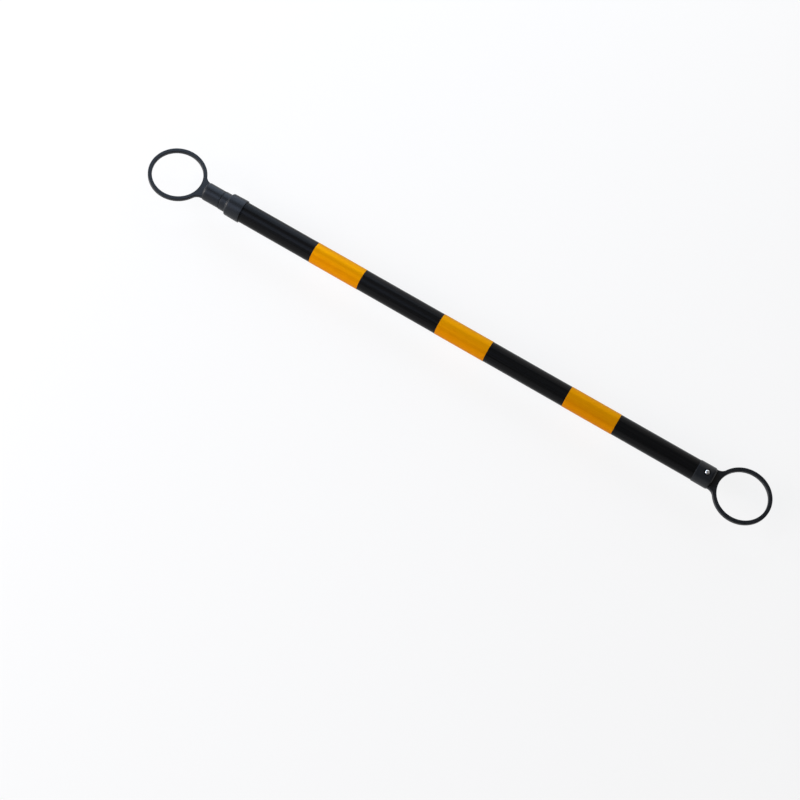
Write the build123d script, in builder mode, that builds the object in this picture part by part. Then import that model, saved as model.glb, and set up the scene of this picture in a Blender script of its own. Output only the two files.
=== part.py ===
from build123d import *
import os

# Telescopic barrier pole with a ring at each end that drops over the tip of a traffic cone.
# X runs along the pole, from the sliding end to the fixed end. Z is the axis of both rings.
# The origin is on the pole's axis, half way between the rings of the closed pole.
# All lengths are in millimetres.

# Rings, and the flat web that joins each ring to its cap
ring_span = 1032.0  # centre to centre, closed
ring_inner_radius = 41.25
ring_outer_radius = 47.75
ring_thickness = 6.5
ring_edge_round = 1.2
ring_to_cap = 52.0  # ring centre to the front face of its cap
gusset_radius = 14.0  # hollow curve from the side of the web to the ring
web_inset = 0.5  # the web is narrower than its cap by this much on each side
web_root = 4.0  # how far the web runs into the front wall of the cap

# Tubes
outer_tube_radius = 17.5
outer_tube_bore = 15.5
inner_tube_radius = 14.0
inner_tube_bore = 12.5

# Caps: a thin skirt over the tube, a spigot inside it and a thick front wall
fixed_cap_radius = 18.5
fixed_cap_length = 30.0
sliding_cap_radius = 15.15
sliding_cap_length = 32.0
cap_draft = 0.2  # the skirt's rear edge is smaller in radius by this much
cap_floor = 5.0
cap_front_round = 4.8
cap_rear_round = 0.5
spigot_wall = 3.5
spigot_setback = 2.0  # the spigot stops this far short of the skirt's rear edge

# Cap screws, whose heads stand on the tube in a round hole through the skirt
screw_radius = 2.1
screw_length = 9.5
screw_tip = 2.5
screw_head_radius = 3.7
screw_head_height = 1.8
screw_rim_height = 0.7
screw_cross = (4.4, 1.0)
screw_cross_depth = 1.0
screw_recess_radius = 5.4
fixed_screw_setback = 13.0  # from the front face of the cap
fixed_screw_turn = 8.0  # degrees round the pole from straight up, towards -Y
sliding_screw_turn = 180.0

# Collar on the mouth of the outer tube
closed_gap = 0.6  # between the sliding cap and the collar's nose
nose_length = 11.6
nose_radius = 15.5
nose_bore = 14.4
nose_round = 0.8
nose_flare = 1.6  # hollow curve from the nose to the collar's front face
collar_length = 27.4
collar_front_radius = 18.85
collar_lean = 1.0  # its front face leans back by this much
collar_rear_radius = 19.4
collar_shoulder_round = 2.9
collar_rear_round = 0.5
collar_front_wall = 1.4

# Wiper and bush inside the collar
wiper_length = 2.4
wiper_radius = 16.6
wiper_bore = 14.7
wiper_lip = 14.2
bush_flange = 1.5
bush_length = 45.0
bush_bore = 14.2

# Reflective film bands
band_count = 3
band_width = 88.4
band_pitch = 231.4
band_middle = 16.4
film = 0.25
film_lap = 8.0

# Twist lock at the inner end of the inner tube
lock_end_gap = 12.0  # between the end screw's head and the fixed cap's spigot
plug_length = 28.0
core_flange = 3.5
core_flange_radius = 14.0
guide_journal_length = 10.0
guide_journal_radius = 10.8
middle_flange = 3.0
middle_flange_radius = 13.8
lock_journal_length = 14.0
lock_journal_radius = 8.0
eccentricity = 0.7
axial_play = 0.3
journal_play = 0.25
guide_ring_radius = 15.25
guide_ring_split = 2.5
lock_ring_radius = 14.3
lock_ring_split = 2.0
grip_groove_count = 12
grip_groove_radius = 0.7
core_chamfer = 0.8
core_pin_radius = 1.5
core_pin_length = 27.6
end_washer_radius = 12.5
end_washer_thickness = 2.0
end_screw_radius = 2.5
end_screw_length = 18.0
end_screw_head_radius = 4.75
end_screw_head_height = 3.5

# Places along the pole
ring_x = ring_span / 2
cap_front = ring_x - ring_to_cap
tube_seat = cap_front - cap_floor
fixed_cap_rear = cap_front - fixed_cap_length
sliding_cap_rear = sliding_cap_length - cap_front
fixed_screw_x = cap_front - fixed_screw_setback
sliding_screw_x = (sliding_cap_rear - cap_front) / 2
fixed_screw_plane = Plane((fixed_screw_x, 0, 0), x_dir=(1, 0, 0)).rotated((fixed_screw_turn, 0, 0))
sliding_screw_plane = Plane((sliding_screw_x, 0, 0), x_dir=(1, 0, 0)).rotated((sliding_screw_turn, 0, 0))

nose_front = sliding_cap_rear + closed_gap
collar_front = nose_front + nose_length
collar_shoulder = collar_front + collar_lean
collar_rear = collar_front + collar_length
wiper_front = collar_front + collar_front_wall
flange_front = wiper_front + wiper_length
outer_tube_start = flange_front + bush_flange
bush_end = outer_tube_start + bush_length

end_screw_top = fixed_cap_rear + spigot_setback - lock_end_gap
end_washer_top = end_screw_top - end_screw_head_height
lock_journal_end = end_washer_top - end_washer_thickness
lock_journal_start = lock_journal_end - lock_journal_length
guide_journal_end = lock_journal_start - middle_flange
guide_journal_start = guide_journal_end - guide_journal_length
inner_tube_end = guide_journal_start - core_flange
plug_start = inner_tube_end - plug_length
core_pin_x = (plug_start + inner_tube_end) / 2

os.makedirs("parts", exist_ok=True)


def ring_cap(end, cap_radius, cap_rear, tube_radius, tube_bore, screw_plane):
    """Ring, web and cap in one moulding, at the +X (end 1) or the -X (end -1) end of the pole.

    screw_plane lies across the cap screw, on the pole's axis, and faces the screw's head.
    """
    web_end = ring_to_cap + web_root
    web_start = ring_inner_radius
    web_half_width = cap_radius - web_inset
    front = end * cap_front
    seat = end * tube_seat
    spigot_end = cap_rear + end * spigot_setback
    spigot_bore = tube_bore - spigot_wall
    with BuildPart() as cap:
        with BuildSketch(Plane.XY.offset(-ring_thickness / 2)) as plate:
            with Locations((end * ring_x, 0)):
                Circle(ring_outer_radius)
            with Locations((end * (ring_x - (web_start + web_end) / 2), 0)):
                Rectangle(web_end - web_start, 2 * web_half_width)
            fillet(plate.vertices().group_by(Axis.X, reverse=end < 0)[1], gusset_radius)
            with Locations((end * ring_x, 0)):
                Circle(ring_inner_radius, mode=Mode.SUBTRACT)
        extrude(amount=ring_thickness)
        fillet(cap.faces().sort_by(Axis.Z)[0].edges(), ring_edge_round)
        fillet(cap.faces().sort_by(Axis.Z)[-1].edges(), ring_edge_round)
        with BuildSketch(Plane.XZ) as section:
            with BuildLine():
                Polyline(
                    (front, 0),
                    (front, cap_radius),
                    (cap_rear, cap_radius - cap_draft),
                    (cap_rear, tube_radius),
                    (seat, tube_radius),
                    (seat, tube_bore),
                    (spigot_end, tube_bore),
                    (spigot_end, spigot_bore),
                    (seat, spigot_bore),
                    (seat, 0),
                    close=True,
                )
            make_face()
            fillet(section.vertices().sort_by_distance((front, cap_radius))[0], cap_front_round)
            fillet(section.vertices().sort_by_distance((cap_rear, cap_radius))[0], cap_rear_round)
        revolve(axis=Axis.X)
        with BuildSketch(screw_plane):
            Circle(screw_radius)
        extrude(amount=tube_bore, mode=Mode.SUBTRACT)
        with BuildSketch(screw_plane.offset((tube_bore + tube_radius) / 2)):
            Circle(screw_recess_radius)
        extrude(amount=tube_radius, mode=Mode.SUBTRACT)
    return cap


def cap_screw(screw_plane, tube_radius):
    """Pan-head screw with a cross recess, whose head stands on the tube."""
    seat = screw_plane.offset(tube_radius)
    with BuildPart() as screw:
        with BuildSketch(Plane(seat.origin, x_dir=seat.x_dir, z_dir=-seat.y_dir)):
            with BuildLine():
                Polyline(
                    (0, screw_head_height),
                    (0, -screw_length),
                    (screw_radius, screw_tip - screw_length),
                    (screw_radius, 0),
                    (screw_head_radius, 0),
                    (screw_head_radius, screw_rim_height),
                )
                TangentArc((0, screw_head_height), (screw_head_radius, screw_rim_height), tangent=(1, 0))
            make_face()
        revolve(axis=Axis(seat.origin, seat.z_dir))
        with BuildSketch(seat.offset(screw_head_height)):
            Rectangle(*screw_cross)
            Rectangle(*screw_cross, rotation=90)
        extrude(amount=-screw_cross_depth, mode=Mode.SUBTRACT)
    return screw


# Outer tube, from the bush's flange to the floor of the fixed cap
with BuildPart() as outer_tube:
    with BuildSketch(Plane.YZ.offset(outer_tube_start)):
        Circle(outer_tube_radius)
        Circle(outer_tube_bore, mode=Mode.SUBTRACT)
    extrude(amount=tube_seat - outer_tube_start)
    with BuildSketch(fixed_screw_plane):
        Circle(screw_radius)
    extrude(amount=outer_tube_radius, mode=Mode.SUBTRACT)
outer_tube.part.label = "outer_tube"
export_step(outer_tube.part, "parts/outer_tube.step")

# Reflective bands: film wrapped once round the tube, its end lapped over its start underneath
for index in range(band_count):
    band_start = band_middle + (index - (band_count - 1) / 2) * band_pitch - band_width / 2
    with BuildPart() as reflective_band:
        with BuildSketch(Plane.YZ.offset(band_start)):
            Circle(outer_tube_radius + 2 * film)
            with Locations((0, -outer_tube_radius)):
                Rectangle(film_lap, outer_tube_radius, mode=Mode.INTERSECT)
            Circle(outer_tube_radius + film)
            Circle(outer_tube_radius, mode=Mode.SUBTRACT)
        extrude(amount=band_width)
    band_name = f"reflective_band_{index + 1}"
    reflective_band.part.label = band_name
    export_step(reflective_band.part, f"parts/{band_name}.step")

# Collar, glued over the mouth of the outer tube, with a slim nose round the inner tube
with BuildPart() as tube_collar:
    with BuildSketch(Plane.XZ) as collar_section:
        with BuildLine():
            Polyline(
                (nose_front, nose_bore),
                (nose_front, nose_radius),
                (collar_front, nose_radius),
                (collar_shoulder, collar_front_radius),
                (collar_rear, collar_rear_radius),
                (collar_rear, outer_tube_radius),
                (flange_front, outer_tube_radius),
                (flange_front, wiper_radius),
                (wiper_front, wiper_radius),
                (wiper_front, nose_bore),
                close=True,
            )
        make_face()
        for corner, round_radius in (
            ((nose_front, nose_radius), nose_round),
            ((collar_front, nose_radius), nose_flare),
            ((collar_shoulder, collar_front_radius), collar_shoulder_round),
            ((collar_rear, collar_rear_radius), collar_rear_round),
        ):
            fillet(collar_section.vertices().sort_by_distance(corner)[0], round_radius)
    revolve(axis=Axis.X)
tube_collar.part.label = "tube_collar"
export_step(tube_collar.part, "parts/tube_collar.step")

# Wiper, a rubber ring with a tapered lip, held between the collar and the bush
with BuildPart() as collar_wiper:
    with BuildSketch(Plane.XZ):
        with BuildLine():
            Polyline(
                (wiper_front, wiper_radius),
                (flange_front, wiper_radius),
                (flange_front, wiper_bore),
                (wiper_front + wiper_length / 2, wiper_bore),
                (wiper_front, wiper_lip),
                close=True,
            )
        make_face()
    revolve(axis=Axis.X)
collar_wiper.part.label = "collar_wiper"
export_step(collar_wiper.part, "parts/collar_wiper.step")

# Bush, its flange clamped between the collar and the end of the outer tube
with BuildPart() as collar_bush:
    with BuildSketch(Plane.YZ.offset(flange_front)):
        Circle(outer_tube_radius)
    extrude(amount=bush_flange)
    with BuildSketch(Plane.YZ.offset(outer_tube_start)):
        Circle(outer_tube_bore)
    extrude(amount=bush_length)
    with BuildSketch(Plane.YZ.offset(flange_front)):
        Circle(bush_bore)
    extrude(amount=bush_flange + bush_length, mode=Mode.SUBTRACT)
collar_bush.part.label = "collar_bush"
export_step(collar_bush.part, "parts/collar_bush.step")

# Fixed ring cap and its screw, which comes in from above
fixed_ring_cap = ring_cap(
    1, fixed_cap_radius, fixed_cap_rear, outer_tube_radius, outer_tube_bore, fixed_screw_plane
)
fixed_ring_cap.part.label = "fixed_ring_cap"
export_step(fixed_ring_cap.part, "parts/fixed_ring_cap.step")

fixed_cap_screw = cap_screw(fixed_screw_plane, outer_tube_radius)
fixed_cap_screw.part.label = "fixed_cap_screw"
export_step(fixed_cap_screw.part, "parts/fixed_cap_screw.step")

# Inner tube, from the floor of the sliding cap to the flange of the lock core
with BuildPart() as inner_tube:
    with BuildSketch(Plane.YZ.offset(-tube_seat)):
        Circle(inner_tube_radius)
        Circle(inner_tube_bore, mode=Mode.SUBTRACT)
    extrude(amount=tube_seat + inner_tube_end)
    with BuildSketch(sliding_screw_plane):
        Circle(screw_radius)
    extrude(amount=inner_tube_radius, mode=Mode.SUBTRACT)
    with BuildSketch(Plane.XZ):
        with Locations((core_pin_x, 0)):
            Circle(core_pin_radius)
    extrude(amount=inner_tube_radius, both=True, mode=Mode.SUBTRACT)
inner_tube.part.label = "inner_tube"
export_step(inner_tube.part, "parts/inner_tube.step")

# Sliding ring cap and its screw, which comes in from below
sliding_ring_cap = ring_cap(
    -1, sliding_cap_radius, sliding_cap_rear, inner_tube_radius, inner_tube_bore, sliding_screw_plane
)
sliding_ring_cap.part.label = "sliding_ring_cap"
export_step(sliding_ring_cap.part, "parts/sliding_ring_cap.step")

sliding_cap_screw = cap_screw(sliding_screw_plane, inner_tube_radius)
sliding_cap_screw.part.label = "sliding_cap_screw"
export_step(sliding_cap_screw.part, "parts/sliding_cap_screw.step")

# Lock core: a plug in the inner tube, then the guide journal between two flanges, then the
# lock journal, whose axis is above the pole's by the eccentricity
with BuildPart() as lock_core:
    with BuildSketch(Plane.XZ):
        with BuildLine():
            Polyline(
                (plug_start, 0),
                (plug_start, inner_tube_bore - core_chamfer),
                (plug_start + core_chamfer, inner_tube_bore),
                (inner_tube_end, inner_tube_bore),
                (inner_tube_end, core_flange_radius),
                (guide_journal_start, core_flange_radius),
                (guide_journal_start, guide_journal_radius),
                (guide_journal_end, guide_journal_radius),
                (guide_journal_end, middle_flange_radius),
                (lock_journal_start, middle_flange_radius),
                (lock_journal_start, 0),
                close=True,
            )
        make_face()
    revolve(axis=Axis.X)
    with BuildSketch(Plane.YZ.offset(lock_journal_start)):
        with Locations((0, eccentricity)):
            Circle(lock_journal_radius)
    extrude(amount=lock_journal_length)
    with BuildSketch(Plane.YZ.offset(lock_journal_end)):
        Circle(end_screw_radius)
    extrude(amount=-end_screw_length, mode=Mode.SUBTRACT)
    with BuildSketch(Plane.XZ):
        with Locations((core_pin_x, 0)):
            Circle(core_pin_radius)
    extrude(amount=inner_tube_radius, both=True, mode=Mode.SUBTRACT)
lock_core.part.label = "lock_core"
export_step(lock_core.part, "parts/lock_core.step")

# Cross pin through inner tube and core
with BuildPart() as core_pin:
    with BuildSketch(Plane.XZ):
        with Locations((core_pin_x, 0)):
            Circle(core_pin_radius)
    extrude(amount=core_pin_length / 2, both=True)
core_pin.part.label = "core_pin"
export_step(core_pin.part, "parts/core_pin.step")

# Washer and screw that keep the lock ring on its journal
with BuildPart() as core_end_washer:
    with BuildSketch(Plane.YZ.offset(lock_journal_end)):
        Circle(end_washer_radius)
        Circle(end_screw_radius, mode=Mode.SUBTRACT)
    extrude(amount=end_washer_thickness)
core_end_washer.part.label = "core_end_washer"
export_step(core_end_washer.part, "parts/core_end_washer.step")

with BuildPart() as core_end_screw:
    with BuildSketch(Plane.YZ.offset(end_washer_top)):
        Circle(end_screw_head_radius)
    extrude(amount=end_screw_head_height)
    fillet(core_end_screw.edges().sort_by(Axis.X)[-1], screw_rim_height)
    with BuildSketch(Plane.YZ.offset(end_washer_top)):
        Circle(end_screw_radius)
    extrude(amount=-(end_screw_length + end_washer_thickness))
    with BuildSketch(Plane.YZ.offset(end_screw_top)):
        Rectangle(*screw_cross)
        Rectangle(*screw_cross, rotation=90)
    extrude(amount=-screw_cross_depth, mode=Mode.SUBTRACT)
core_end_screw.part.label = "core_end_screw"
export_step(core_end_screw.part, "parts/core_end_screw.step")

# Guide ring, split underneath so that it snaps on to its journal
with BuildPart() as guide_ring:
    with BuildSketch(Plane.YZ.offset(guide_journal_start + axial_play)):
        Circle(guide_ring_radius)
        Circle(guide_journal_radius + journal_play, mode=Mode.SUBTRACT)
        with Locations((0, -guide_ring_radius)):
            Rectangle(guide_ring_split, guide_ring_radius, mode=Mode.SUBTRACT)
    extrude(amount=guide_journal_length - 2 * axial_play)
guide_ring.part.label = "guide_ring"
export_step(guide_ring.part, "parts/guide_ring.step")

# Lock ring, split on its thin side and grooved along its outside for grip
with BuildPart() as lock_ring:
    with BuildSketch(Plane.YZ.offset(lock_journal_start + axial_play)):
        Circle(lock_ring_radius)
        with PolarLocations(lock_ring_radius, grip_groove_count, start_angle=180 / grip_groove_count):
            Circle(grip_groove_radius, mode=Mode.SUBTRACT)
        with Locations((0, eccentricity)):
            Circle(lock_journal_radius + journal_play, mode=Mode.SUBTRACT)
        with Locations((0, lock_ring_radius)):
            Rectangle(lock_ring_split, lock_ring_radius, mode=Mode.SUBTRACT)
    extrude(amount=lock_journal_length - 2 * axial_play)
lock_ring.part.label = "lock_ring"
export_step(lock_ring.part, "parts/lock_ring.step")

print("closed length", ring_span + 2 * ring_outer_radius)
print("room to slide", guide_journal_start + axial_play - bush_end)
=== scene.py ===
import math

import bmesh
import bpy
from mathutils import Matrix, Vector


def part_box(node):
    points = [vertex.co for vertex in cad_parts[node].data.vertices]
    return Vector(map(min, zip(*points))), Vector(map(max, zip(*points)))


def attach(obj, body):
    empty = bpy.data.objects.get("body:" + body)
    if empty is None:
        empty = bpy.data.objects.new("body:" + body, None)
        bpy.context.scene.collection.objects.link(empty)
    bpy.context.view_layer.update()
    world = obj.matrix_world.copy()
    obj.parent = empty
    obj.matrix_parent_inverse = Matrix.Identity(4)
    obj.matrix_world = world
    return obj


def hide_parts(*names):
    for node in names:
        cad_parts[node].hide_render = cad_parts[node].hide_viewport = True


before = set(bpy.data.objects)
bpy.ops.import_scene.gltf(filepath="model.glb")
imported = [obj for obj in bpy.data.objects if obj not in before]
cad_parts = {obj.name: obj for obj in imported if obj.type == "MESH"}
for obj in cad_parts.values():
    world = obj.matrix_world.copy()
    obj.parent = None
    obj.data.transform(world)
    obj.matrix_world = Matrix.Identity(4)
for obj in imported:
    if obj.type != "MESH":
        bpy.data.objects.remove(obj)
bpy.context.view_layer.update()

# Outer tube
# Extruded black plastic pipe, 35 mm across with a 2 mm wall, sawn square at both ends.
# Its mouth is glued into the collar, and a screw through the fixed cap holds its other end.
mm = 0.001
tube_mouth, tube_end = -414.5, 459
tube_radius, tube_wall, sawn_edge = 17.5, 2, 0.3
tube_bore = tube_radius - tube_wall


def node(tree, kind, inputs=None, **settings):
    """Adds a node to a tree. An input is a plain value or the output of another node."""
    made = tree.nodes.new(kind)
    for name, value in settings.items():
        setattr(made, name, value)
    for name, value in (inputs or {}).items():
        if isinstance(value, bpy.types.NodeSocket):
            tree.links.new(value, made.inputs[name])
        else:
            made.inputs[name].default_value = value
    return made


def math_node(tree, operation, *values):
    """Adds a Math node and returns its output."""
    return node(tree, "ShaderNodeMath", dict(enumerate(values)), operation=operation).outputs[0]


def ramp(tree, value, start, end, low=0.0, high=1.0, kind="LINEAR"):
    """Goes from low to high as the value goes from start to end, and stays level beyond."""
    limits = {"Value": value, "From Min": start, "From Max": end, "To Min": low, "To Max": high}
    return node(tree, "ShaderNodeMapRange", limits, interpolation_type=kind).outputs["Result"]


def tone(tree, mask, dark, light):
    """Goes from one colour to another as the mask goes from 0 to 1."""
    mixed = node(tree, "ShaderNodeMix", data_type="RGBA")
    mask_socket, dark_socket, light_socket = (mixed.inputs[index] for index in (0, 6, 7))
    tree.links.new(mask, mask_socket)
    dark_socket.default_value = (*dark, 1)
    light_socket.default_value = (*light, 1)
    return mixed.outputs[2]


def noise(tree, place, scale, detail=2.0, roughness=0.5):
    """Adds a noise pattern with so many bumps to the metre and returns its value."""
    settings = {"Vector": place, "Scale": scale, "Detail": detail, "Roughness": roughness}
    return node(tree, "ShaderNodeTexNoise", settings).outputs["Fac"]


def shader_group(name, inputs, outputs):
    """Starts a shader node group and returns it with its inner ends. All outputs are values."""
    group = bpy.data.node_groups.new(name, "ShaderNodeTree")
    group.interface.new_socket("Place", in_out="INPUT", socket_type="NodeSocketVector")
    for socket in inputs:
        group.interface.new_socket(socket, in_out="INPUT", socket_type="NodeSocketFloat")
    for socket in outputs:
        group.interface.new_socket(socket, in_out="OUTPUT", socket_type="NodeSocketFloat")
    return group, node(group, "NodeGroupInput").outputs, node(group, "NodeGroupOutput").inputs


def use(tree, group, **inputs):
    """Places a shader node group in a material and returns its outputs."""
    return node(tree, "ShaderNodeGroup", inputs, node_tree=group).outputs


def new_finish(name, settings):
    """Starts a material. What is the same all over is set on the shader's own sockets."""
    finish = bpy.data.materials.new(name)
    finish.use_nodes = True
    tree = finish.node_tree
    shader = tree.nodes["Principled BSDF"]
    for socket, value in settings.items():
        shader.inputs[socket].default_value = value
    return finish, tree, shader.inputs, node(tree, "ShaderNodeTexCoord").outputs["Object"]


def relief(tree, height, depth):
    """Turns a height of 0 to 1 into a surface relief of that depth in metres."""
    settings = {"Height": height, "Distance": depth, "Strength": 1.0}
    return node(tree, "ShaderNodeBump", settings).outputs["Normal"]


# Die lines that an extrusion die leaves along a pipe: fine streaks and broad, faint flats.
die_lines, given, result = shader_group("die_lines", ["Fineness"], ["Streaks", "Flats"])
drawn_out, flat_share = (0.004, 1, 1), 0.16
along = node(die_lines, "ShaderNodeVectorMath", {0: given["Place"], 1: drawn_out}, operation="MULTIPLY")
drawn_place = along.outputs[0]
broad = math_node(die_lines, "MULTIPLY", given["Fineness"], flat_share)
fine_streaks = noise(die_lines, drawn_place, given["Fineness"], detail=3, roughness=0.6)
broad_flats = noise(die_lines, drawn_place, broad, detail=1, roughness=0.4)
die_lines.links.new(fine_streaks, result["Streaks"])
die_lines.links.new(broad_flats, result["Flats"])

# Scuffs from handling and stacking: short scratches in patches, most of the surface has none.
handling_scuffs, given, result = shader_group("handling_scuffs", ["Amount"], ["Scuffs"])
patches = ramp(handling_scuffs, noise(handling_scuffs, given["Place"], 16, detail=3), 0.52, 0.72)
scratch_place = node(
    handling_scuffs, "ShaderNodeMapping",
    {"Vector": given["Place"], "Rotation": (0.4, 0.7, 0.5), "Scale": (60, 900, 900)},
).outputs[0]
scratches = ramp(handling_scuffs, noise(handling_scuffs, scratch_place, 1, roughness=0.7), 0.62, 0.72)
marks = math_node(handling_scuffs, "MULTIPLY", patches, scratches)
handling_scuffs.links.new(math_node(handling_scuffs, "MULTIPLY", marks, given["Amount"]), result["Scuffs"])

tube_black, tube_streak = (0.0036, 0.0037, 0.0040), (0.0060, 0.0062, 0.0066)
tube_finish, tree, shader, place = new_finish("gloss_black_tube", {"IOR": 1.18})
lines = use(tree, die_lines, Place=place, Fineness=1500)
scuffs = use(tree, handling_scuffs, Place=place, Amount=0.8)["Scuffs"]
streaks = math_node(tree, "MAXIMUM", ramp(tree, lines["Streaks"], 0.35, 0.75), scuffs)
tree.links.new(tone(tree, streaks, tube_black, tube_streak), shader["Base Color"])
tree.links.new(ramp(tree, streaks, 0, 1, low=0.24, high=0.34), shader["Roughness"])
tree.links.new(relief(tree, lines["Flats"], depth=0.14 * mm), shader["Normal"])


def outline(corners, step, turns=7):
    """Closed section in metres from (x, radius, round) corners in millimetres.

    Rounds become arcs and long runs are cut into steps. Returns (x, radius, edge) points,
    where edge is 1 at the middle of a round and 0 on the flats.
    """
    points = []
    for index, (x, radius, size) in enumerate(corners):
        here = Vector((x, radius))
        if not size:
            points.append((here, 0.0))
            continue
        back = (Vector(corners[index - 1][:2]) - here).normalized()
        ahead = (Vector(corners[(index + 1) % len(corners)][:2]) - here).normalized()
        half = back.angle(ahead) / 2
        centre = here + (back + ahead).normalized() * size / math.sin(half)
        start = here + back * size / math.tan(half) - centre
        sweep = start.angle_signed(here + ahead * size / math.tan(half) - centre)
        for turn in range(turns + 1):
            share = turn / turns
            spoke = Matrix.Rotation(-sweep * share, 2) @ start
            points.append((centre + spoke, math.sin(math.pi * share)))
    cut = []
    for (here, edge), (ahead, _) in zip(points, points[1:] + points[:1]):
        pieces = max(1, round((ahead - here).length / step))
        cut.append((*(here * mm), edge))
        cut += [(*(here.lerp(ahead, part / pieces) * mm), 0.0) for part in range(1, pieces)]
    return cut


def section_mesh(name, points):
    """Mesh loop of a section, in the plane of the pole's axis and the rings' axis."""
    section = bpy.data.meshes.new(name)
    loop = [(index, (index + 1) % len(points)) for index in range(len(points))]
    section.from_pydata([(x, 0, radius) for x, radius, _ in points], loop, [])
    edges = section.attributes.new("edge", "FLOAT", "POINT")
    edges.data.foreach_set("value", [edge for _, _, edge in points])
    return section


def shape_tree(name, sockets):
    """Starts a Geometry Nodes tree with named inputs and returns it with those inputs."""
    tree = bpy.data.node_groups.new(name, "GeometryNodeTree")
    tree.interface.new_socket("Geometry", in_out="INPUT", socket_type="NodeSocketGeometry")
    for socket, kind in sockets.items():
        tree.interface.new_socket(socket, in_out="INPUT", socket_type=kind)
    tree.interface.new_socket("Finish", in_out="INPUT", socket_type="NodeSocketMaterial")
    tree.interface.new_socket("Geometry", in_out="OUTPUT", socket_type="NodeSocketGeometry")
    return tree, node(tree, "NodeGroupInput").outputs


def end_tree(tree, geometry, finish):
    """Ends a tree: doubles merged, bare edges removed, instances made real and the finish set."""
    merge_reach = 0.002 * mm
    merged = node(tree, "GeometryNodeMergeByDistance", {"Geometry": geometry, "Distance": merge_reach})
    face_count = node(tree, "GeometryNodeInputMeshEdgeNeighbors").outputs[0]
    bare_edges = {"Geometry": merged.outputs[0], "Selection": math_node(tree, "LESS_THAN", face_count, 0.5)}
    clean = node(tree, "GeometryNodeDeleteGeometry", bare_edges, domain="EDGE")
    real = node(tree, "GeometryNodeRealizeInstances", {"Geometry": clean.outputs[0]})
    painted = node(tree, "GeometryNodeSetMaterial", {"Geometry": real.outputs[0], "Material": finish})
    node(tree, "NodeGroupOutput", {"Geometry": painted.outputs[0]})


# A section turned round the pole's axis: a sheet with a column for each side, whose points
# copy those of the section and are swung round the axis.
turned, given = shape_tree("turned_section", {"Sides": "NodeSocketInt"})
section_count = node(turned, "GeometryNodeAttributeDomainSize", {"Geometry": given["Geometry"]}).outputs
section_size = section_count["Point Count"]
rows = math_node(turned, "ADD", section_size, 1)
columns = math_node(turned, "ADD", given["Sides"], 1)
sheet = node(turned, "GeometryNodeMeshGrid", {"Vertices X": columns, "Vertices Y": rows}).outputs["Mesh"]
index = node(turned, "GeometryNodeInputIndex").outputs[0]
side = math_node(turned, "FLOOR", math_node(turned, "DIVIDE", index, rows))
corner = math_node(turned, "MODULO", math_node(turned, "MODULO", index, rows), section_size)
angle = math_node(turned, "MULTIPLY", math_node(turned, "DIVIDE", side, given["Sides"]), math.tau)
section_place = node(turned, "GeometryNodeInputPosition").outputs[0]
section_edge = node(
    turned, "GeometryNodeInputNamedAttribute", {"Name": "edge"}, data_type="FLOAT"
).outputs[0]
spot = node(
    turned, "GeometryNodeSampleIndex",
    {"Geometry": given["Geometry"], "Value": section_place, "Index": corner}, data_type="FLOAT_VECTOR",
).outputs[0]
spot_edge = node(
    turned, "GeometryNodeSampleIndex",
    {"Geometry": given["Geometry"], "Value": section_edge, "Index": corner}, data_type="FLOAT",
).outputs[0]
swung = node(
    turned, "ShaderNodeVectorRotate", {"Vector": spot, "Angle": angle}, rotation_type="X_AXIS"
).outputs[0]
marked = node(
    turned, "GeometryNodeStoreNamedAttribute", {"Geometry": sheet, "Name": "edge", "Value": spot_edge},
    data_type="FLOAT", domain="POINT",
).outputs[0]
round_body = node(turned, "GeometryNodeSetPosition", {"Geometry": marked, "Position": swung}).outputs[0]
end_tree(turned, round_body, given["Finish"])


def settle(piece, finish):
    """Makes what a piece's modifiers give its own plain, closed mesh, and removes them."""
    crease_angle = math.radians(32)
    ready = piece.evaluated_get(bpy.context.evaluated_depsgraph_get())
    plain = bpy.data.meshes.new_from_object(ready)
    piece.modifiers.clear()
    piece.data = plain
    plain.materials.clear()
    plain.materials.append(finish)
    shell = bmesh.new()
    shell.from_mesh(plain)
    bmesh.ops.recalc_face_normals(shell, faces=shell.faces)
    shell.to_mesh(plain)
    shell.free()
    plain.shade_smooth()
    plain.set_sharp_from_angle(angle=crease_angle)


def shape(name, start, tree, inputs):
    """Runs a tree on a mesh and returns the result as an object."""
    piece = bpy.data.objects.new(name, start)
    bpy.context.scene.collection.objects.link(piece)
    shaper = piece.modifiers.new("shape", "NODES")
    shaper.node_group = tree
    for socket in tree.interface.items_tree:
        if socket.in_out == "INPUT" and socket.name in inputs:
            shaper[socket.identifier] = inputs[socket.name]
    settle(piece, inputs["Finish"])
    return piece


def turned_piece(name, corners, step, sides, finish):
    """Piece turned round the pole's axis from the corners of its section."""
    section = section_mesh(name + "_section", outline(corners, step))
    return shape(name, section, turned, {"Sides": sides, "Finish": finish})


def pipe(name, start, end, bore, radius, sides, finish):
    """Pipe on the pole's axis, with its sawn edges broken."""
    corners = [(start, bore), (start, radius), (end, radius), (end, bore)]
    broken_corners = [(*corner, sawn_edge) for corner in corners]
    return turned_piece(name, broken_corners, step=20, sides=sides, finish=finish)


def stand_in(piece, cad_node, body):
    """Puts a finished piece in the place of a CAD node."""
    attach(piece, body)
    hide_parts(cad_node)


outer_pipe = pipe(
    "outer_pipe", start=tube_mouth, end=tube_end, bore=tube_bore, radius=tube_radius, sides=128,
    finish=tube_finish,
)
stand_in(outer_pipe, "outer_tube", "outer_pole")

# Bush and wiper
# A flanged bush of natural nylon lines the mouth of the tube, and a rubber lip in front of it
# wipes the inner tube. The collar clamps both, so little of them is ever seen.


def dress(cad_node, finish):
    """Gives a CAD node, whose shape stays, its finish."""
    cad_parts[cad_node].material_slots[0].material = finish


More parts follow.
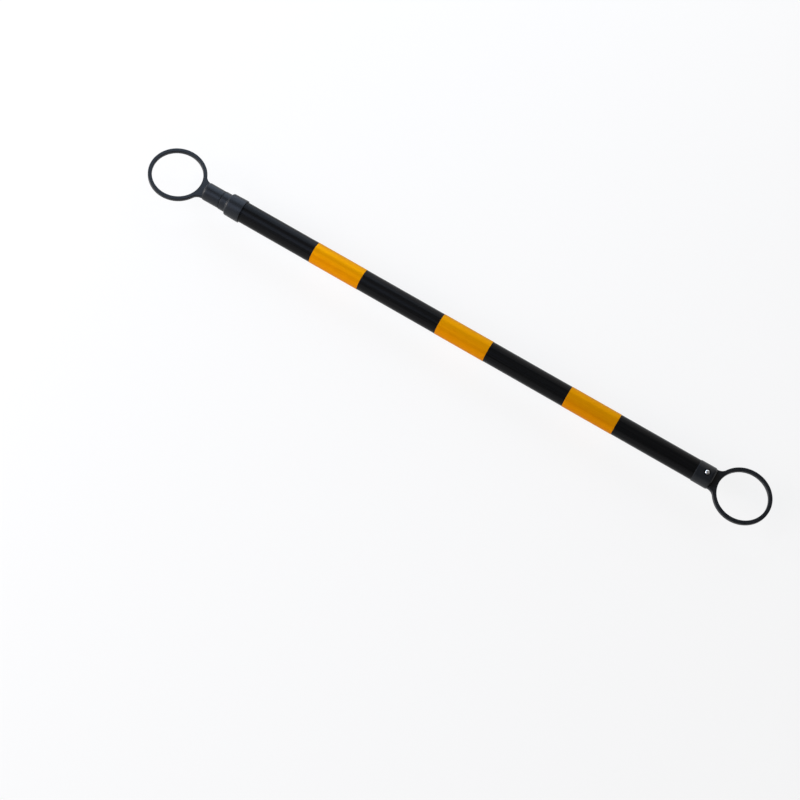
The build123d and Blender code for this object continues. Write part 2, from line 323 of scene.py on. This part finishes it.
# Texture of moulded plastic: the fine grain of an eroded mould, and slow flow marks.
moulded_grain, given, result = shader_group("moulded_grain", ["Fineness"], ["Grain", "Flow"])
fine_grain = noise(moulded_grain, given["Place"], given["Fineness"], roughness=0.65)
slow_flow = noise(moulded_grain, given["Place"], 55, detail=3, roughness=0.55)
moulded_grain.links.new(fine_grain, result["Grain"])
moulded_grain.links.new(slow_flow, result["Flow"])

nylon_dark, nylon_light = (0.66, 0.64, 0.56), (0.76, 0.74, 0.67)
nylon_finish, tree, shader, place = new_finish(
    "natural_nylon",
    {"IOR": 1.53, "Subsurface Weight": 0.15, "Subsurface Radius": (2 * mm, 1.6 * mm, 1.2 * mm)},
)
grain = use(tree, moulded_grain, Place=place, Fineness=1800)
tree.links.new(tone(tree, grain["Flow"], nylon_dark, nylon_light), shader["Base Color"])
tree.links.new(ramp(tree, grain["Grain"], 0.3, 0.7, low=0.38, high=0.52), shader["Roughness"])
tree.links.new(relief(tree, grain["Grain"], depth=0.03 * mm), shader["Normal"])
dress("collar_bush", nylon_finish)

rubber_dark, rubber_light = (0.014, 0.014, 0.014), (0.026, 0.026, 0.027)
rubber_finish, tree, shader, place = new_finish("wiper_rubber", {"IOR": 1.5})
grain = use(tree, moulded_grain, Place=place, Fineness=2600)
tree.links.new(tone(tree, grain["Flow"], rubber_dark, rubber_light), shader["Base Color"])
tree.links.new(ramp(tree, grain["Grain"], 0.3, 0.7, low=0.62, high=0.8), shader["Roughness"])
tree.links.new(relief(tree, grain["Grain"], depth=0.05 * mm), shader["Normal"])
dress("collar_wiper", rubber_finish)

# Collar
# Semi-gloss black moulding glued over the mouth of the tube: a slim nose that meets the sliding
# cap, a rounded shoulder and a skirt that widens a little towards its rear edge.
collar_front, nose_rear, shoulder_front, collar_rear = -431.4, -419.8, -418.8, -392.4
nose_bore, nose_radius, shoulder_radius, skirt_radius = 14.4, 15.5, 18.85, 19.4
wiper_front, bush_front, wiper_radius = -418.4, -416, 16.6

# Edges rubbed duller and a little paler by use, where a piece has edge marks.
edge_rub, given, result = shader_group("edge_rub", ["Amount"], ["Rub"])
edge_marks = node(edge_rub, "ShaderNodeAttribute", attribute_name="edge").outputs["Fac"]
broken = ramp(edge_rub, noise(edge_rub, given["Place"], 140, detail=3, roughness=0.6), 0.3, 0.6)
rubbed = math_node(edge_rub, "MULTIPLY", edge_marks, broken)
edge_rub.links.new(math_node(edge_rub, "MULTIPLY", rubbed, given["Amount"]), result["Rub"])

moulded_black, moulded_worn = (0.0100, 0.0119, 0.0150), (0.018, 0.0206, 0.0245)
moulded_finish, tree, shader, place = new_finish("moulded_black", {"IOR": 1.31})
grain = use(tree, moulded_grain, Place=place, Fineness=1700)
scuffs = use(tree, handling_scuffs, Place=place, Amount=0.7)["Scuffs"]
rub = use(tree, edge_rub, Place=place, Amount=0.6)["Rub"]
worn = math_node(tree, "MAXIMUM", scuffs, rub)
tree.links.new(tone(tree, worn, moulded_black, moulded_worn), shader["Base Color"])
sheen = ramp(tree, grain["Flow"], 0.3, 0.7, low=0.3, high=0.4)
dulled = math_node(tree, "MULTIPLY", rub, 0.2)
tree.links.new(math_node(tree, "ADD", sheen, dulled), shader["Roughness"])
tree.links.new(relief(tree, grain["Grain"], depth=0.02 * mm), shader["Normal"])

collar_corners = [
    (collar_front, nose_bore, 0.3), (collar_front, nose_radius, 0.8), (nose_rear, nose_radius, 1.6),
    (shoulder_front, shoulder_radius, 2.9), (collar_rear, skirt_radius, 0.5),
    (collar_rear, tube_radius, 0.2), (bush_front, tube_radius, 0), (bush_front, wiper_radius, 0),
    (wiper_front, wiper_radius, 0), (wiper_front, nose_bore, 0.2),
]
mouth_collar = turned_piece("mouth_collar", collar_corners, step=4, sides=128, finish=moulded_finish)
stand_in(mouth_collar, "tube_collar", "outer_pole")

# Reflective bands
# Three strips of amber reflective film, 0.25 mm thick, each wrapped once round the tube with its
# end lapped over its start underneath. The film's colour is painted more golden on its upper back side: a
# painted highlight where the light falls.
first_band, band_pitch, band_width, band_count = -259.2, 231.4, 88.4, 3
film, film_lap, lap_rise = 0.25, 8.0, 1.5

# The gold tone serves both the film's random mottle and streaks and a painted highlight on the upper back
# side.
film_amber, film_gold_and_painted_highlight = (0.68, 0.212, 0.0006), (0.81, 0.362, 0.0009)
film_finish, tree, shader, place = new_finish(
    "amber_film",
    {"IOR": 1.12, "Metallic": 0.28, "Specular Tint": (1, 0.6, 0.03, 1)},
)
lines = use(tree, die_lines, Place=place, Fineness=900)
scuffs = use(tree, handling_scuffs, Place=place, Amount=0.5)["Scuffs"]
beads = node(tree, "ShaderNodeTexVoronoi", {"Vector": place, "Scale": 2600}).outputs["Distance"]
mottle = ramp(tree, noise(tree, place, 60, detail=3, roughness=0.6), 0.3, 0.7, high=0.15)
# Painted highlight: the upper back side of each band, where the light falls, is painted more golden.
lit_side = (0, 0.85, 0.53)
towards_lit_side = node(tree, "ShaderNodeVectorMath", {0: place, 1: lit_side}, operation="DOT_PRODUCT")
painted_light_shift = ramp(tree, towards_lit_side.outputs["Value"], -6 * mm, 15 * mm, high=0.55)
streaks = ramp(tree, lines["Streaks"], 0.35, 0.65, high=0.3)
streak_mottle_and_painted_light = math_node(tree, "ADD", painted_light_shift, math_node(tree, "ADD", mottle, streaks))
tree.links.new(tone(tree, streak_mottle_and_painted_light, film_amber, film_gold_and_painted_highlight), shader["Base Color"])
bead_gloss = ramp(tree, beads, 0, 0.6, low=0.3, high=0.38)
tree.links.new(math_node(tree, "ADD", bead_gloss, scuffs), shader["Roughness"])
tree.links.new(relief(tree, lines["Flats"], depth=0.05 * mm), shader["Normal"])

wrapped, given = shape_tree("film_wrap", {
    "Start": "NodeSocketFloat", "Width": "NodeSocketFloat", "Radius": "NodeSocketFloat",
    "Film": "NodeSocketFloat", "Lap": "NodeSocketFloat", "Rise": "NodeSocketFloat",
    "Sides": "NodeSocketInt", "Rows": "NodeSocketInt",
})
strip = node(wrapped, "GeometryNodeMeshGrid", {
    "Size X": 1.0, "Size Y": 1.0, "Vertices X": given["Sides"], "Vertices Y": given["Rows"],
}).outputs["Mesh"]
flat_place = node(wrapped, "GeometryNodeInputPosition").outputs[0]
strip_place = node(wrapped, "ShaderNodeSeparateXYZ", {0: flat_place}).outputs
round_share = math_node(wrapped, "ADD", strip_place["X"], 0.5)
width_share = math_node(wrapped, "ADD", strip_place["Y"], 0.5)
girth = math_node(wrapped, "MULTIPLY", given["Radius"], math.tau)
run = math_node(wrapped, "MULTIPLY", round_share, math_node(wrapped, "ADD", girth, given["Lap"]))
lift_start = math_node(wrapped, "SUBTRACT", girth, given["Rise"])
lift = ramp(wrapped, run, lift_start, girth, high=given["Film"], kind="SMOOTHSTEP")
reach = math_node(wrapped, "ADD", given["Radius"], lift)
half_lap = math_node(wrapped, "MULTIPLY", given["Lap"], 0.5)
angle = math_node(wrapped, "DIVIDE", math_node(wrapped, "SUBTRACT", run, half_lap), given["Radius"])
angle_from_top = math_node(wrapped, "SUBTRACT", math.pi, angle)
strip_x = math_node(wrapped, "MULTIPLY_ADD", width_share, given["Width"], given["Start"])
strip_y = math_node(wrapped, "MULTIPLY", reach, math_node(wrapped, "SINE", angle_from_top))
strip_z = math_node(wrapped, "MULTIPLY", reach, math_node(wrapped, "COSINE", angle_from_top))
bent = node(wrapped, "ShaderNodeCombineXYZ", {"X": strip_x, "Y": strip_y, "Z": strip_z}).outputs[0]
under = node(wrapped, "GeometryNodeSetPosition", {"Geometry": strip, "Position": bent}).outputs[0]
over = node(
    wrapped, "GeometryNodeExtrudeMesh", {"Mesh": under, "Offset Scale": given["Film"], "Individual": False}
).outputs["Mesh"]
both = node(wrapped, "GeometryNodeJoinGeometry").inputs[0]
wrapped.links.new(node(wrapped, "GeometryNodeFlipFaces", {"Mesh": under}).outputs[0], both)
wrapped.links.new(over, both)
end_tree(wrapped, both.node.outputs[0], given["Finish"])

for number in range(band_count):
    band = f"reflective_band_{number + 1}"
    strip_film = shape(band + "_film", bpy.data.meshes.new(band), wrapped, {
        "Start": (first_band + band_pitch * number) * mm, "Width": band_width * mm,
        "Radius": tube_radius * mm, "Film": film * mm, "Lap": film_lap * mm, "Rise": lap_rise * mm,
        "Sides": 144, "Rows": 24, "Finish": film_finish,
    })
    stand_in(strip_film, band, "outer_pole")

# Fixed ring cap and its screw
# One black moulding: a cap pushed over the end of the tube, a flat web and the ring that drops
# over a cone's tip. A zinc-plated screw in a round recess holds the cap to the tube.
ring_middle, ring_inside, ring_bar, ring_round = 516, 41.25, 6.5, 1.2
ring_outside = ring_inside + ring_bar
web_end, web_inset, gusset_radius = 56, 0.5, 14
cap_top, cap_draft, spigot_setback, spigot_wall = 5, 0.2, 2, 3.5
front_round, rear_round, lip_round, spigot_round = 4.8, 0.5, 0.1, 0.3
hole_radius, recess_radius = 2.1, 5.4
fixed_screw_along, fixed_screw_lean = tube_end - 8, 8


def plate_rim(half_width):
    """Rim of a ring and its web, as places from the ring's middle with their outward directions.

    The first axis points to the cap. The rim goes from the middle of the web's hidden end to the
    side of the web, along its hollow gusset and over the ring, and back along the other side.
    """
    end_steps, gusset_steps, ring_steps = 4, 14, 64
    end_share = 0.5  # the hidden end draws back by only half of a round, so that it can't fold over
    bend = Vector((0, half_width + gusset_radius))
    bend.x = math.sqrt((ring_outside + gusset_radius) ** 2 - bend.y**2)
    meeting = math.atan2(bend.y, bend.x)
    rim = []
    for step in range(end_steps):
        rim.append((Vector((web_end, half_width * step / end_steps)), Vector((end_share, 0))))
    rim.append((Vector((web_end, half_width)), Vector((end_share, 1))))
    for step in range(gusset_steps + 1):
        turn = (meeting - math.pi / 2) * step / gusset_steps
        spoke = Matrix.Rotation(turn, 2) @ Vector((0, -1))
        rim.append((bend + spoke * gusset_radius, -spoke))
    for step in range(1, ring_steps + 1):
        turn = meeting + (math.pi - meeting) * step / ring_steps
        spoke = Matrix.Rotation(turn, 2) @ Vector((1, 0))
        rim.append((spoke * ring_outside, spoke))
    across = Matrix.Diagonal((1, -1))
    return rim + [(across @ spot, across @ way) for spot, way in reversed(rim[1:-1])]


def ring_plate(name, end, half_width):
    """Ring and web, a flat plate with rounded edges, at one end of the pole or turned to the other."""
    turns, half_thickness, flat_start = 6, ring_bar / 2, 1.4 * ring_round
    side = [(0, 0, 0)]
    for turn in range(turns + 1):
        angle = math.pi / 2 * turn / turns
        depth = ring_round * (1 - math.cos(angle))
        side.append((depth, half_thickness - ring_round * (1 - math.sin(angle)), math.sin(2 * angle)))
    side.append((flat_start, half_thickness, 0))
    upper = [(True, *row) for row in side] + [(False, *row) for row in reversed(side)]
    rows = upper + [(outer, depth, -height, edge) for outer, depth, height, edge in reversed(upper[1:-1])]
    points, edges = [], []
    for rim_spot, way in plate_rim(half_width):
        for outer, depth, height, edge in rows:
            spot = rim_spot - way * depth if outer else rim_spot.normalized() * (ring_inside + depth)
            points.append(Vector((end * (ring_middle - spot.x), end * spot.y, height)) * mm)
            edges.append(edge)
    faces = []
    for first in range(0, len(points), len(rows)):
        beside = (first + len(rows)) % len(points)
        for row in range(len(rows)):
            above = (row + 1) % len(rows)
            faces.append((first + row, first + above, beside + above, beside + row))
    plate = bpy.data.meshes.new(name)
    plate.from_pydata(points, [], faces)
    plate.attributes.new("edge", "FLOAT", "POINT").data.foreach_set("value", edges)
    return plate


def screw_drill(name, pipe_radius, pipe_bore, along, lean):
    """Cutter for a screw's hole and recess, stood on the axis at a place along it and a lean in degrees."""
    start, stop, recess_floor = 4, 30, (pipe_bore + pipe_radius) / 2
    corners = [
        (start, 0, 0), (start, hole_radius, 0), (recess_floor, hole_radius, 0),
        (recess_floor, recess_radius, 0), (stop, recess_radius, 0), (stop, 0, 0),
    ]
    drill = turned_piece(name, corners, step=stop, sides=64, finish=moulded_finish)
    upright = Matrix.Rotation(math.radians(lean), 4, "X") @ Matrix.Rotation(-math.pi / 2, 4, "Y")
    drill.data.transform(Matrix.Translation((along * mm, 0, 0)) @ upright)
    return drill


def ring_cap(name, seat, pipe_radius, pipe_bore, wall, length, screw_along, screw_lean):
    """Cap, web and ring joined in one, with the hole and the recess for the cap's screw cut in it.

    The cap's top sits on the pipe's end, the seat. Its skirt goes over the pipe, its spigot into it.
    """
    end = math.copysign(1, seat)
    front = seat + end * cap_top
    rear = front - end * length
    radius = pipe_radius + wall
    spigot_end, spigot_bore = rear + end * spigot_setback, pipe_bore - spigot_wall
    corners = [
        (front, 0, 0), (front, radius, front_round), (rear, radius - cap_draft, rear_round),
        (rear, pipe_radius, lip_round), (seat, pipe_radius, 0), (seat, pipe_bore, 0),
        (spigot_end, pipe_bore, spigot_round), (spigot_end, spigot_bore, spigot_round),
        (seat, spigot_bore, 0), (seat, 0, 0),
    ]
    moulding = turned_piece(name, corners, step=3, sides=144, finish=moulded_finish)
    plate = bpy.data.objects.new(name + "_plate", ring_plate(name + "_plate", end, radius - web_inset))
    bpy.context.scene.collection.objects.link(plate)
    drill = screw_drill(name + "_drill", pipe_radius, pipe_bore, screw_along, screw_lean)
    for tool, operation in ((plate, "UNION"), (drill, "DIFFERENCE")):
        joint = moulding.modifiers.new(tool.name, "BOOLEAN")
        joint.object = tool
        joint.operation = operation
        joint.solver = "EXACT"
    settle(moulding, moulded_finish)
    for tool in (plate, drill):
        bpy.data.objects.remove(tool)
    return moulding


fixed_moulding = ring_cap(
    "fixed_ring_moulding", seat=tube_end, pipe_radius=tube_radius, pipe_bore=tube_bore, wall=1,
    length=30, screw_along=fixed_screw_along, screw_lean=fixed_screw_lean,
)
stand_in(fixed_moulding, "fixed_ring_cap", "outer_pole")

zinc_dark, zinc_light = (0.66, 0.67, 0.69), (0.86, 0.87, 0.89)
zinc_finish, tree, shader, place = new_finish("bright_zinc", {"Metallic": 1.0})
grain = use(tree, moulded_grain, Place=place, Fineness=5200)
tree.links.new(tone(tree, grain["Grain"], zinc_dark, zinc_light), shader["Base Color"])
tree.links.new(ramp(tree, grain["Flow"], 0.3, 0.7, low=0.2, high=0.34), shader["Roughness"])
tree.links.new(relief(tree, grain["Grain"], depth=0.01 * mm), shader["Normal"])

# A turned screw with a tapered cross recess, stood on a tube at a given seat and lean.
cross_screw, given = shape_tree("cross_screw", {
    "Sides": "NodeSocketInt", "Head Height": "NodeSocketFloat", "Cross Length": "NodeSocketFloat",
    "Cross Width": "NodeSocketFloat", "Cross Depth": "NodeSocketFloat", "Cross Taper": "NodeSocketFloat",
    "Along": "NodeSocketFloat", "Seat": "NodeSocketFloat", "Lean": "NodeSocketFloat",
})
blank = node(
    cross_screw, "GeometryNodeGroup",
    {"Geometry": given["Geometry"], "Sides": given["Sides"], "Finish": given["Finish"]}, node_tree=turned,
).outputs[0]
cutter = node(cross_screw, "GeometryNodeJoinGeometry").inputs[0]
block_height = math_node(cross_screw, "MULTIPLY", given["Cross Depth"], 2)
for y_size, z_size in (("Cross Length", "Cross Width"), ("Cross Width", "Cross Length")):
    block_size = node(
        cross_screw, "ShaderNodeCombineXYZ", {"X": block_height, "Y": given[y_size], "Z": given[z_size]}
    ).outputs[0]
    block = node(cross_screw, "GeometryNodeMeshCube", {"Size": block_size}).outputs["Mesh"]
    cross_screw.links.new(block, cutter)
block_place = node(cross_screw, "GeometryNodeInputPosition").outputs[0]
block_x = node(cross_screw, "ShaderNodeSeparateXYZ", {0: block_place}).outputs["X"]
rise = math_node(cross_screw, "DIVIDE", block_x, given["Cross Depth"])
spread = math_node(cross_screw, "MULTIPLY_ADD", rise, given["Cross Taper"], 1.0)
taper = node(cross_screw, "ShaderNodeCombineXYZ", {"X": 1.0, "Y": spread, "Z": spread}).outputs[0]
tapered = node(
    cross_screw, "ShaderNodeVectorMath", {0: block_place, 1: taper}, operation="MULTIPLY"
).outputs[0]
top = node(cross_screw, "ShaderNodeCombineXYZ", {"X": given["Head Height"]}).outputs[0]
recess = node(
    cross_screw, "GeometryNodeSetPosition",
    {"Geometry": cutter.node.outputs[0], "Position": tapered, "Offset": top},
).outputs[0]
driven = node(
    cross_screw, "GeometryNodeMeshBoolean", {"Self Intersection": True},
    operation="DIFFERENCE", solver="EXACT",
)
cross_screw.links.new(blank, driven.inputs["Mesh 1"])
cross_screw.links.new(recess, driven.inputs["Mesh 2"])
from_axis = node(cross_screw, "ShaderNodeCombineXYZ", {"X": given["Seat"]}).outputs[0]
screw_place = node(cross_screw, "GeometryNodeInputPosition").outputs[0]
raised = node(
    cross_screw, "ShaderNodeVectorMath", {0: screw_place, 1: from_axis}, operation="ADD"
).outputs[0]
upright = node(
    cross_screw, "ShaderNodeVectorRotate", {"Vector": raised, "Angle": -math.pi / 2}, rotation_type="Y_AXIS"
).outputs[0]
leant = node(
    cross_screw, "ShaderNodeVectorRotate", {"Vector": upright, "Angle": given["Lean"]},
    rotation_type="X_AXIS",
).outputs[0]
moved = node(cross_screw, "ShaderNodeCombineXYZ", {"X": given["Along"]}).outputs[0]
set_screw = node(
    cross_screw, "GeometryNodeSetPosition",
    {"Geometry": driven.outputs["Mesh"], "Position": leant, "Offset": moved},
).outputs[0]
end_tree(cross_screw, set_screw, given["Finish"])

screw_tip, shank_end = -9.5, -7
head_radius, head_height = 3.7, 1.8
screw_corners = [
    (screw_tip, 0, 0), (shank_end, hole_radius, 0.3), (0, hole_radius, 0), (0, head_radius, 0.1),
    (0.2, head_radius, 0.2), (0.85, 3.45, 0.5), (1.45, 2.4, 1.5), (1.72, 1.3, 0.6), (head_height, 0, 0),
]


def cap_screw(name, along, seat, lean):
    """Pan-head screw on a tube, at a place along the pole and a lean in degrees round it."""
    section = section_mesh(name + "_section", outline(screw_corners, step=1.5, turns=4))
    return shape(name, section, cross_screw, {
        "Sides": 48, "Head Height": head_height * mm, "Cross Length": 4.2 * mm, "Cross Width": 1.0 * mm,
        "Cross Depth": 1.0 * mm, "Cross Taper": 0.4, "Along": along * mm, "Seat": seat * mm,
        "Lean": math.radians(lean), "Finish": zinc_finish,
    })


fixed_screw = cap_screw("fixed_pan_screw", fixed_screw_along, tube_radius, fixed_screw_lean)
stand_in(fixed_screw, "fixed_cap_screw", "outer_pole")

# Inner tube
# Extruded black plastic pipe, 28 mm across, that slides in the bush. It is satin rather than
# glossy, because the bush and the wiper rub fine lines along it.
inner_start, inner_end = -tube_end, 388
inner_radius, inner_wall = 14, 1.5
inner_bore = inner_radius - inner_wall

inner_black, inner_streak = (0.0052, 0.0053, 0.0056), (0.0098, 0.010, 0.0104)
inner_finish, tree, shader, place = new_finish("satin_black_tube", {"IOR": 1.26})
lines = use(tree, die_lines, Place=place, Fineness=1900)
scuffs = use(tree, handling_scuffs, Place=place, Amount=1.0)["Scuffs"]
streaks = math_node(tree, "MAXIMUM", ramp(tree, lines["Streaks"], 0.35, 0.7), scuffs)
tree.links.new(tone(tree, streaks, inner_black, inner_streak), shader["Base Color"])
tree.links.new(ramp(tree, streaks, 0, 1, low=0.3, high=0.44), shader["Roughness"])
tree.links.new(relief(tree, lines["Flats"], depth=0.04 * mm), shader["Normal"])

inner_pipe = pipe(
    "inner_pipe", start=inner_start, end=inner_end, bore=inner_bore, radius=inner_radius, sides=112,
    finish=inner_finish,
)
stand_in(inner_pipe, "inner_tube", "inner_pole")

# Sliding ring cap and its screw
# The same moulding for the slimmer inner tube. Its cap meets the nose of the collar when the
# pole is closed, and its screw comes in from below.
sliding_screw_along, sliding_screw_lean = inner_start + 11, 180
sliding_moulding = ring_cap(
    "sliding_ring_moulding", seat=inner_start, pipe_radius=inner_radius, pipe_bore=inner_bore, wall=1.15,
    length=32, screw_along=sliding_screw_along, screw_lean=sliding_screw_lean,
)
stand_in(sliding_moulding, "sliding_ring_cap", "inner_pole")
sliding_screw = cap_screw("sliding_pan_screw", sliding_screw_along, inner_radius, sliding_screw_lean)
stand_in(sliding_screw, "sliding_cap_screw", "inner_pole")

# Twist lock
# Inside the tube: a nylon core pinned into the inner tube, a split guide ring, and a split lock
# ring on an off-centre journal that wedges in the bore. A washer and a screw keep it on.
for cad_node in ("lock_core", "guide_ring", "lock_ring"):
    dress(cad_node, nylon_finish)
for cad_node in ("core_pin", "core_end_washer", "core_end_screw"):
    dress(cad_node, zinc_finish)

# Floor
# A plain pale studio floor, far wider than the pole, that curves up at its edge. It lies just
# low enough for the sliding ring to turn.
floor_gap = 1 * mm
floor_height = -(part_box("sliding_ring_cap")[1].y + floor_gap)
floor_profile = [(0.7, 0), (2, 0), (5, 0), (9.5, 0), (11, 0.25), (12, 0.95), (12.4, 2), (12.5, 3.2)]
floor_sides = 96
floor_points = []
for radius, rise in floor_profile:
    for turn in range(floor_sides):
        angle = math.tau * turn / floor_sides
        floor_points.append((radius * math.cos(angle), radius * math.sin(angle), floor_height + rise))
floor_faces = []
for row in range(0, len(floor_points) - floor_sides, floor_sides):
    for turn in range(floor_sides):
        here, beside = row + turn, row + (turn + 1) % floor_sides
        floor_faces.append((here, here + floor_sides, beside + floor_sides, beside))
floor_faces.append(tuple(range(floor_sides)))
floor_mesh = bpy.data.meshes.new("studio_floor")
floor_mesh.from_pydata(floor_points, [], floor_faces)
floor_mesh.shade_smooth()
floor = bpy.data.objects.new("studio_floor", floor_mesh)
bpy.context.scene.collection.objects.link(floor)

floor_finish = bpy.data.materials.new("pale_floor")
floor_finish.use_nodes = True
tree = floor_finish.node_tree
tree.nodes.clear()
rays = node(tree, "ShaderNodeLightPath").outputs
seen = math_node(tree, "MAXIMUM", rays["Is Camera Ray"], rays["Is Glossy Ray"])
seen = math_node(tree, "MAXIMUM", seen, rays["Is Transmission Ray"])
lit = node(tree, "ShaderNodeBsdfDiffuse", {"Color": (0.86, 0.86, 0.86, 1)}).outputs[0]
white = node(tree, "ShaderNodeEmission", {"Color": (1, 1, 1, 1), "Strength": 1.0}).outputs[0]
white_share = math_node(tree, "MULTIPLY", seen, 0.82)
shown = node(tree, "ShaderNodeMixShader", {0: white_share, 1: lit, 2: white}).outputs[0]
node(tree, "ShaderNodeOutputMaterial", {"Surface": shown})
floor_mesh.materials.append(floor_finish)

# Studio light
# A low, bright key far out beyond the left end, cool softboxes behind that end, high above it
# and in front of it, a panel behind the middle, a strip overhead and a dim, even room.
pole_middle, near_left, left_end = (0, 0, 0), (-0.1, 0, 0), (-0.5, 0, 0)
warm_white, soft_white, strip_white = (1.05, 0.985, 0.94), (1.02, 0.97, 0.92), (1.0, 0.99, 0.97)
cool_blue, pale_blue = (0.76, 0.95, 1.36), (0.75, 0.95, 1.25)


def softbox(name, place, aim, size, radiance, colour):
    """Flat lamp of an even radiance that faces a point."""
    width, height = size
    lamp = bpy.data.lights.new(name, "AREA")
    lamp.shape = "RECTANGLE"
    lamp.size = width
    lamp.size_y = height
    lamp.energy = radiance * width * height * math.pi
    lamp.color = colour
    box = bpy.data.objects.new(name, lamp)
    box.location = place
    box.rotation_euler = (Vector(aim) - Vector(place)).to_track_quat("-Z", "Y").to_euler()
    box.visible_camera = False
    bpy.context.scene.collection.objects.link(box)


softbox("key_softbox", (-2.9, -1.2, 1.15), near_left, size=(1.6, 1.4), radiance=18, colour=warm_white)
softbox("high_softbox", (-1.05, -1.05, 2), left_end, size=(1.2, 1.2), radiance=1.9, colour=cool_blue)
softbox("far_left_softbox", (-1, 1.2, 0.9), left_end, size=(1.2, 1.8), radiance=2.1, colour=pale_blue)
softbox("far_panel", (0, 1.4, 0.85), pole_middle, size=(1.3, 1.4), radiance=0.95, colour=soft_white)
softbox("overhead_strip", (0, -0.05, 2.4), pole_middle, size=(2.4, 0.5), radiance=0.35, colour=strip_white)
softbox("front_fill", (-1.7, -2.2, 1.5), left_end, size=(1.6, 2.2), radiance=0.55, colour=cool_blue)

room = bpy.data.worlds.new("studio_room")
room.use_nodes = True
room_light = room.node_tree.nodes["Background"].inputs
room_light["Color"].default_value = (1, 0.94, 0.88, 1)
room_light["Strength"].default_value = 0.14
bpy.context.scene.world = room

# Camera
# Stands above the front of the pole, a little to the right, and is rolled so that the pole runs
# down from the upper left to the lower right of a square picture.
camera_place = Vector((0.3773, -1.55963, 3.0374))
camera_aim = Vector((-0.01493, -0.1494, 0))
camera_roll = math.radians(15.871)
forward = (camera_aim - camera_place).normalized()
level = forward.cross(Vector((0, 0, 1))).normalized()
upward = level.cross(forward)
right = math.cos(camera_roll) * level + math.sin(camera_roll) * upward
camera_data = bpy.data.cameras.new("photo_camera")
camera_data.lens = 97.804
camera_data.sensor_width = 36
camera_data.clip_end = 100
camera = bpy.data.objects.new("photo_camera", camera_data)
camera_axes = Matrix((right, right.cross(forward), -forward)).transposed().to_4x4()
camera.matrix_world = Matrix.Translation(camera_place) @ camera_axes
bpy.context.scene.collection.objects.link(camera)
bpy.context.scene.camera = camera
bpy.context.scene.view_settings.view_transform = "Standard"
